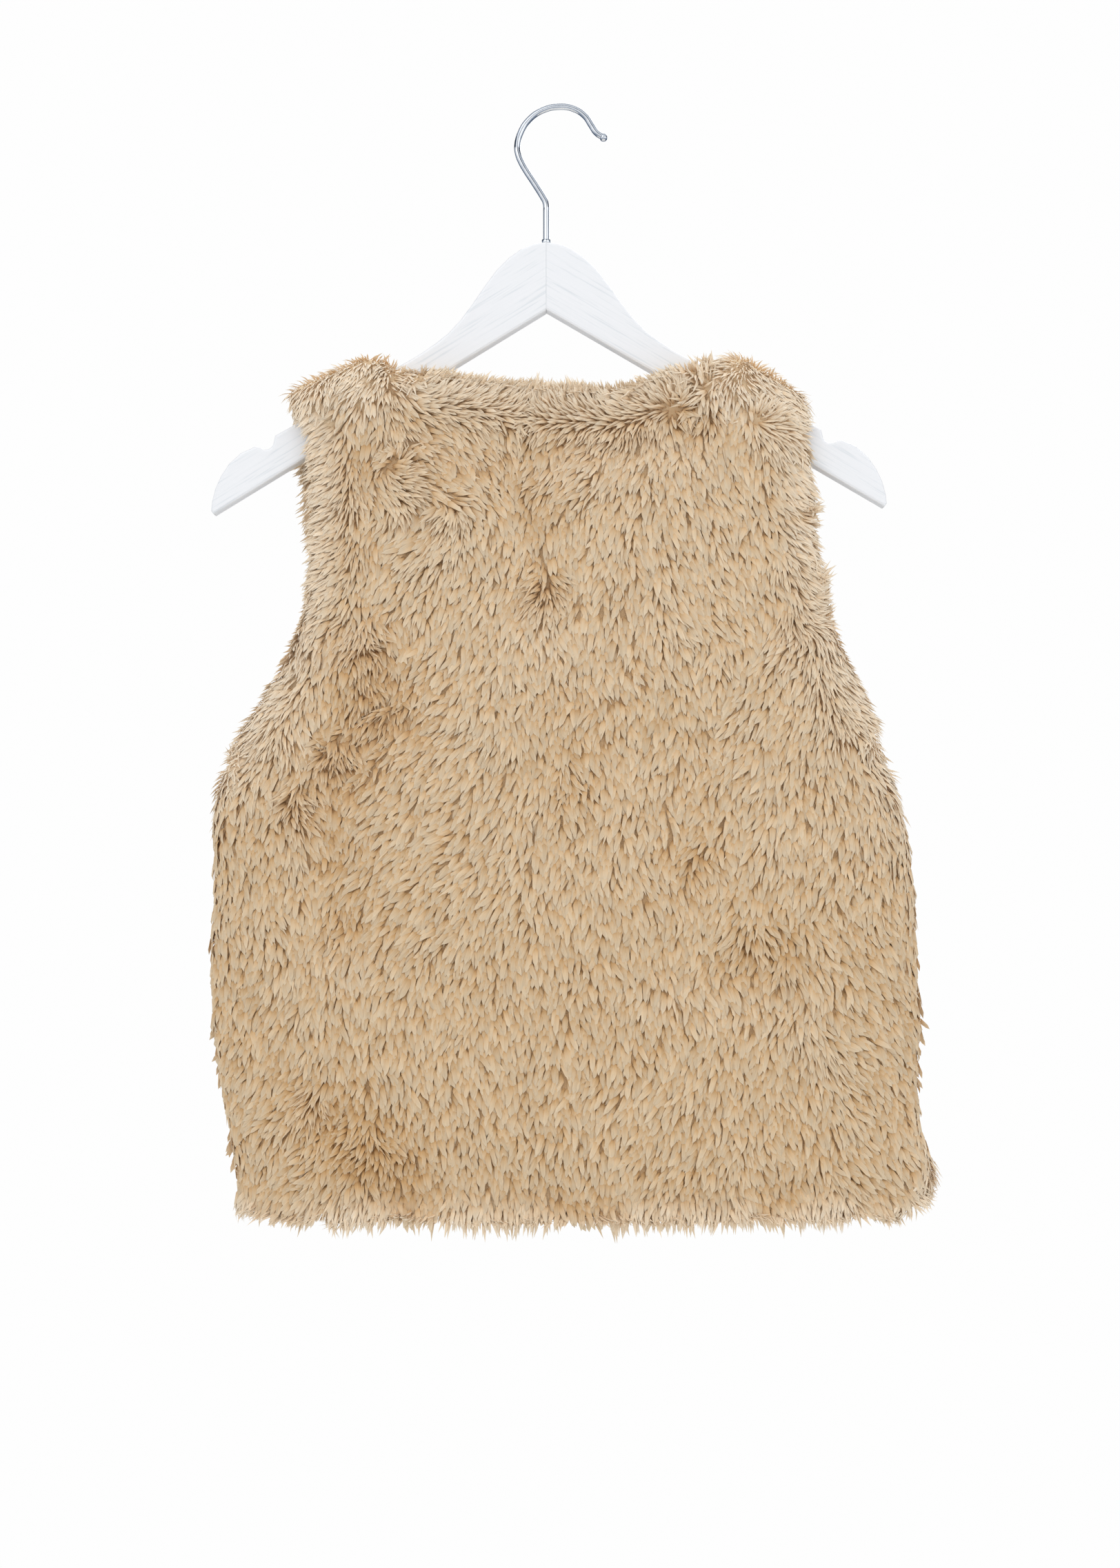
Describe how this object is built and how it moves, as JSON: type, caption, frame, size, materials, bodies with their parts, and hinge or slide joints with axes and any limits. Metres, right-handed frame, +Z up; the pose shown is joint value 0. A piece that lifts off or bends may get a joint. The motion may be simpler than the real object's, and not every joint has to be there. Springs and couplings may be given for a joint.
{
  "type": "faux fur gilet on a wooden hanger",
  "caption": "Short sleeveless long-pile plush gilet with an open front, hanging on a white-painted wooden hanger with notched arms and a chrome wire hook",
  "frame": {"origin": "inside of the hook's crown, where the rail carries it", "axes": "+Z up, +X along the hanger towards the wearer's right, +Y out of the open front; the back of the gilet faces -Y"},
  "size_m": [0.4697, 0.0892, 0.7251],
  "materials": {
    "plush": "long soft pile, camel, with darker roots and paler tips",
    "painted_wood": "white paint, thin enough for the grain to show",
    "chrome": "polished chrome plating"
  },
  "bodies": {
    "root": {"back": "plush", "front_left": "plush", "front_right": "plush", "hanger_arm_left": "painted_wood", "hanger_arm_right": "painted_wood", "hook": "chrome"}
  },
  "joints": []
}
